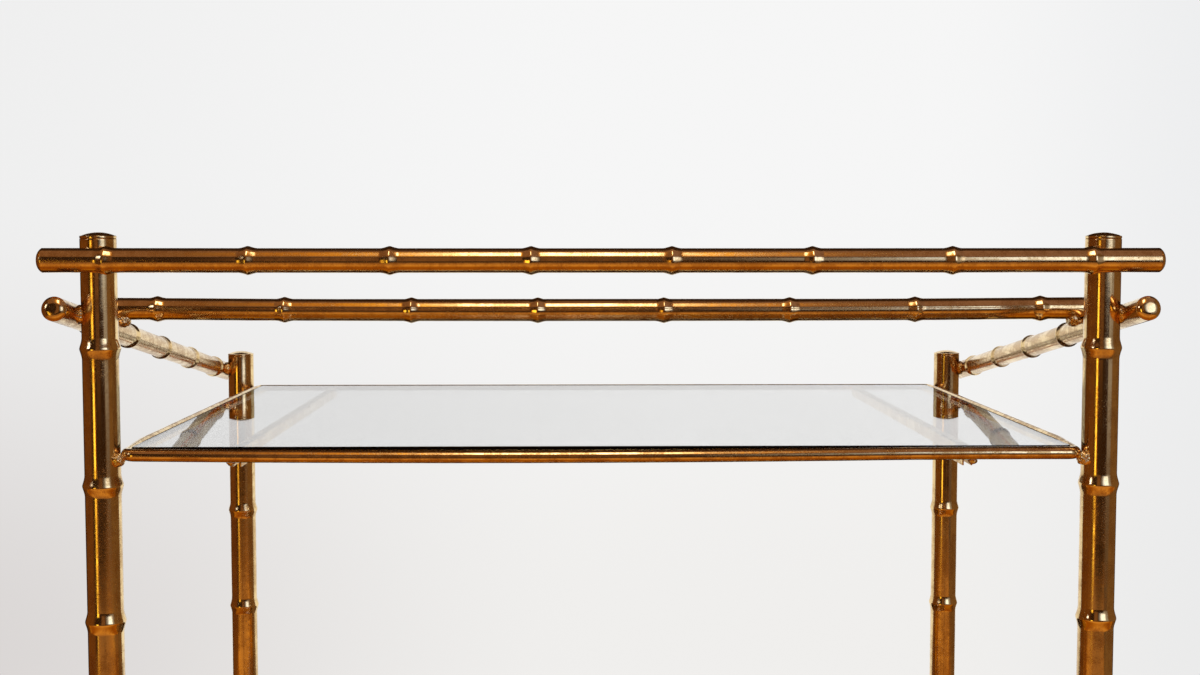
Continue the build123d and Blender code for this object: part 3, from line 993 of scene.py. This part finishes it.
class CART_OT_casters(bpy.types.Operator):
    """Build the four swivel casters"""
    bl_idname = "cart.casters"
    bl_label = "Casters"

    def execute(self, context):
        sockets, washers = [], []
        for corner in CORNERS:
            sockets.append(socket_piece(corner))
            washers.append(washer_piece(corner))
            for make, finish, body, node in (
                    (stem_piece, "Steel", "swivel", "caster_stem"),
                    (fork_piece, "Caster brass", "swivel", "caster_fork"),
                    (axle_piece, "Steel", "swivel", "caster_axle"),
                    (disc_piece, "Wheel disc", "wheel", "wheel_disc"),
                    (tyre_piece, "Tyre", "wheel", "tyre")):
                dress(make(corner), finish, f"{corner}_{body}", f"{corner}_{node}")
        dress(join(sockets, "sockets_in_legs"), "Caster brass", "cart", "caster_sockets")
        dress(join(washers, "washers_under_legs"), "Steel", "cart", "caster_washers")
        return {"FINISHED"}


# Stage


RAIL = (0, -0.21, 0.74)

# The cards that the brass and the glass reflect: name, place, the point that it faces, width,
# height, options, and its colours by their share of the way across, or up where along is 1
CARDS = (
    ("paper_behind", (0, 0.56, 0.56), (0, -1.0, 0.56), 1.26, 0.74, {"again": 0.35},
     ((0.27, (0.88, 0.875, 0.87)), (0.42, (0.92, 0.915, 0.91)), (0.58, (0.96, 0.955, 0.95)))),
    ("floor_in_front", (0, -1.175, 0.0), (0, -1.175, 1.0), 3.2, 2.85, {"soft": 0.1, "along": 1},
     ((0.053, (0.06, 0.016, 0.0)), (0.088, (0.26, 0.076, 0.001)), (0.133, (0.47, 0.18, 0.009)),
      (0.193, (0.35, 0.096, 0.003)), (0.249, (0.31, 0.081, 0.003)), (0.309, (0.42, 0.14, 0.009)),
      (0.383, (0.68, 0.294, 0.047)), (0.614, (0.42, 0.174, 0.04)), (0.93, (0.26, 0.12, 0.04)))),
    ("lamp_above", (-0.035, -0.91, 2.1), (-0.035, -0.21, 0.74), 0.40, 0.95,
     {"strength": 3.4, "soft": 0.2}, ((0, (1.0, 0.95, 0.86)),)),
    ("glow_above", (-0.10, -0.91, 2.12), (-0.10, -0.21, 0.74), 1.2, 1.30, {"soft": 0.15},
     ((0, (0.2, 0.1, 0.04)), (0.07, (0.25, 0.115, 0.046)), (0.19, (0.81, 0.37, 0.08)),
      (0.24, (1.0, 0.50, 0.07)), (0.275, (1.2, 0.62, 0.08)), (0.625, (1.2, 0.62, 0.08)),
      (0.69, (1.0, 0.48, 0.04)), (0.77, (0.59, 0.23, 0.03)), (0.89, (0.36, 0.155, 0.034)),
      (0.96, (0.17, 0.08, 0.03)))),
    ("ceiling", (0.0, -1.25, 2.35), (0, -1.25, 0), 4.8, 3.2, {"soft": 0.25},
     ((0, (0.24, 0.142, 0.121)), (1, (0.26, 0.109, 0.033)))),
    ("softbox_right", (0.80, -1.65, 1.13), RAIL, 1.4, 0.95, {"strength": 1.6, "soft": 0.3},
     ((0.0, (0.96, 1.09, 1.463)), (0.516, (0.96, 1.09, 1.491)), (0.60, (0.60, 0.698, 1.022)),
      (0.65, (0.56, 0.654, 0.966)), (0.70, (0.30, 0.316, 0.412)), (0.77, (0.17, 0.169, 0.206)),
      (1, (0.15, 0.12, 0.114)))),
    ("softbox_left", (-1.5, -1.0, 1.27), RAIL, 0.42, 0.42, {"strength": 4.0, "soft": 0.5},
     ((0, (1.0, 1.057, 1.306)),)),
    ("warm_strip", (-1.70, -2.75, 0.15), (0, -0.2, 0.15), 0.90, 1.5,
     {"strength": 2.2, "soft": 0.1},
     ((0, (0.06, 0.017, 0.001)), (0.36, (0.26, 0.055, 0.0)), (0.42, (1.0, 0.676, 0.085)),
      (0.90, (1.0, 0.676, 0.085)), (1, (0.1, 0.026, 0.001)))),
    ("grey_panel", (1.9, -1.9, 0.9), (0, -0.2, 0.9), 1.4, 2.2, {"soft": 0.4, "along": 1},
     ((0, (0.11, 0.060, 0.024)), (0.20, (0.13, 0.086, 0.064)), (0.27, (0.28, 0.251, 0.27)),
      (0.5, (0.34, 0.327, 0.355)))),
    ("middle_panel", (-0.25, -2.0, 1.15), (-0.25, -0.2, 1.15), 0.9, 1.5, {"soft": 0.4},
     ((0, (0.17, 0.071, 0.02)), (1, (0.20, 0.087, 0.035)))),
)


def facing(place, look, axis):
    """The turn that points an object's axis from its place to a point."""
    towards = (Vector(look) - Vector(place)).normalized()
    return towards.to_track_quat(axis, "Y").to_euler()


def glossy_card(name, place, look, width, height, stops, strength=1.0, soft=0.0, along=0,
                again=1.0):
    """A panel that only reflections see, with soft edges over a share of its width and height.

    again is its brightness in a reflection of a reflection."""
    leave_all()
    bpy.ops.mesh.primitive_plane_add(size=1, location=(0, 0, 0))
    card = call(bpy.context.object, name)
    edit(card)
    bpy.ops.mesh.subdivide(number_cuts=1)
    bpy.ops.transform.resize(value=(width, height, 1))
    object_mode()
    card.rotation_euler = facing(place, look, "Z")
    card.location = place
    finish = Finish(name)
    x, y, _ = finish.axes(finish.node("TexCoord").outputs["Object"])
    share = y / height + 0.5 if along else x / width + 0.5
    colour = finish.node("ValToRGB", {"stops": stops}, {"Fac": share}).outputs[0]
    bounces = finish.ray("Glossy Depth")
    if again < 1:
        colour = finish.mix((bounces - 1).clamp() * (1 - again), colour, (0, 0, 0))
    back = Value(finish, finish.node("NewGeometry").outputs["Backfacing"])
    shown = (1 - back) * bounces.clamp()
    if soft:
        for place_across, full in ((x, width), (y, height)):
            edge = finish.step(abs(place_across), full / 2 * (1 - soft), full / 2)
            shown = shown * (1 - edge)
    finish.veil(finish.node("Emission", None, {"Color": colour, "Strength": strength}),
                shown)
    card.data.materials.append(finish.material)
    card.visible_camera = card.visible_diffuse = card.visible_shadow = False


class CART_OT_stage(bpy.types.Operator):
    """Set the camera, the floor, the background, the lamps and what the brass reflects"""
    bl_idname = "cart.stage"
    bl_label = "Studio"

    def execute(self, context):
        context.scene.view_settings.view_transform = "Standard"
        leave_all()
        bpy.ops.object.camera_add(location=(-0.0178, -1.1628, 0.7555),
                                  rotation=(radians(90 - 3.662), 0, radians(-0.933)))
        camera = context.object
        camera.name = "photograph_camera"
        camera.data.lens = 46.41
        camera.data.sensor_width = 36
        camera.data.clip_start = 0.01
        context.scene.camera = camera
        self.background(context)
        self.floor(context.scene.cart_studio.floor_radius)
        self.lamps()
        for *card, options, stops in CARDS:
            glossy_card(*card, stops, **options)
        return {"FINISHED"}

    def background(self, context):
        """White paper for the camera, with painted shade that darkens it towards the bottom and the
        left and greys it to the right, a dim warm room for the brass, even light for the rest.
        """
        world = context.scene.world = bpy.data.worlds.new("Studio")
        finish = Finish("Studio", world)
        aside, _, height = finish.axes(finish.node("TexCoord").outputs["Generated"])
        # Painted shade on the paper: darker towards the bottom, most at the left, and greyer
        # towards the right
        across = finish.step(aside, -0.42, 0.02)
        low = finish.mix(across, (0.69, 0.66, 0.65), (0.87, 0.86, 0.845))
        high = finish.mix(across, (0.86, 0.86, 0.86), (0.92, 0.92, 0.92))
        paper = finish.mix(finish.step(height, -0.26, 0.04), low, high)
        paper = finish.mix(finish.step(aside, 0.22, 0.42) * 0.6, paper, (0.79, 0.80, 0.815))
        room = finish.mix(finish.step(aside, 0.5, 0.85), (0.030, 0.011, 0.003), (0.18, 0.09, 0.03))
        room = finish.mix(finish.step(aside, -0.65, -0.9), room, (0.15, 0.047, 0.006))
        shown = finish.ray("Is Camera Ray") + finish.ray("Is Transmission Ray")
        seen = finish.mix(shown.clamp(), (0.72, 0.72, 0.72), paper)
        colour = finish.mix(finish.ray("Glossy Depth").clamp(), seen, room)
        finish.show(finish.node("Background", None, {"Color": colour, "Strength": 1.0}),
                    "World")

    def floor(self, radius):
        """A pale floor that fades into the background and that reflections don't see."""
        leave_all()
        bpy.ops.mesh.primitive_circle_add(vertices=96, radius=radius, fill_type="NGON",
                                          location=(0, 0, 0))
        floor = call(bpy.context.object, "floor")
        finish = Finish("Floor")
        place = finish.place()
        length = finish.node("VectorMath", {"operation": "LENGTH"}, {0: place})
        fade = finish.step(length.outputs["Value"], radius * 0.55, radius * 0.98)
        fade = (fade + finish.ray("Glossy Depth")).clamp()
        tone = finish.mix(finish.noise(place, 25.0), (0.80, 0.80, 0.79), (0.84, 0.84, 0.83))
        finish.veil(finish.node("BsdfPrincipled", None,
                                {"Base Color": tone, "Roughness": 0.7}), 1 - fade)
        floor.data.materials.append(finish.material)
        floor.visible_glossy = False

    def lamps(self):
        """Plain soft light: two large panels in front and one above."""
        for name, place, width, power in (
                ("left_panel", (-1.9, -1.9, 2.1), 1.4, 17),
                ("right_panel", (1.9, -1.7, 2.1), 1.4, 17),
                ("top_panel", (0.0, 0.3, 2.9), 1.8, 18)):
            leave_all()
            bpy.ops.object.light_add(type="AREA", location=place)
            lamp = bpy.context.object
            lamp.name = name
            lamp.data.shape = "SQUARE"
            lamp.data.size = width
            lamp.data.energy = power
            lamp.rotation_euler = facing(place, (0, 0, 0.5), "-Z")
            lamp.visible_glossy = False


class CART_PT_panel(bpy.types.Panel):
    """The cart's settings and pieces in the 3D view's sidebar"""
    bl_idname = "CART_PT_panel"
    bl_label = "Bar Cart"
    bl_space_type = "VIEW_3D"
    bl_region_type = "UI"
    bl_category = "Bar Cart"

    def draw(self, context):
        for group in SETTINGS:
            settings = getattr(context.scene, group)
            box = self.layout.box()
            for name in settings.__annotations__:
                box.prop(settings, name)
        for operator in OPERATORS:
            self.layout.operator(operator.bl_idname)


SETTINGS = {"cart_tubes": CartTubes, "cart_finish": CartFinish, "cart_studio": CartStudio}
OPERATORS = (CART_OT_stage, CART_OT_legs, CART_OT_leg_caps, CART_OT_straight_rails,
             CART_OT_side_rails, CART_OT_shelf_frames, CART_OT_glass, CART_OT_bearers,
             CART_OT_braze, CART_OT_casters)
CLASSES = (*SETTINGS.values(), *OPERATORS, CART_PT_panel)


def register():
    for cls in CLASSES:
        bpy.utils.register_class(cls)
    for name, group in SETTINGS.items():
        setattr(bpy.types.Scene, name, bpy.props.PointerProperty(type=group))


def unregister():
    for name in SETTINGS:
        delattr(bpy.types.Scene, name)
    for cls in reversed(CLASSES):
        bpy.utils.unregister_class(cls)


def main():
    register()
    for operator in OPERATORS:
        group, name = operator.bl_idname.split(".")
        getattr(getattr(bpy.ops, group), name)()


if __name__ == "__main__":
    main()
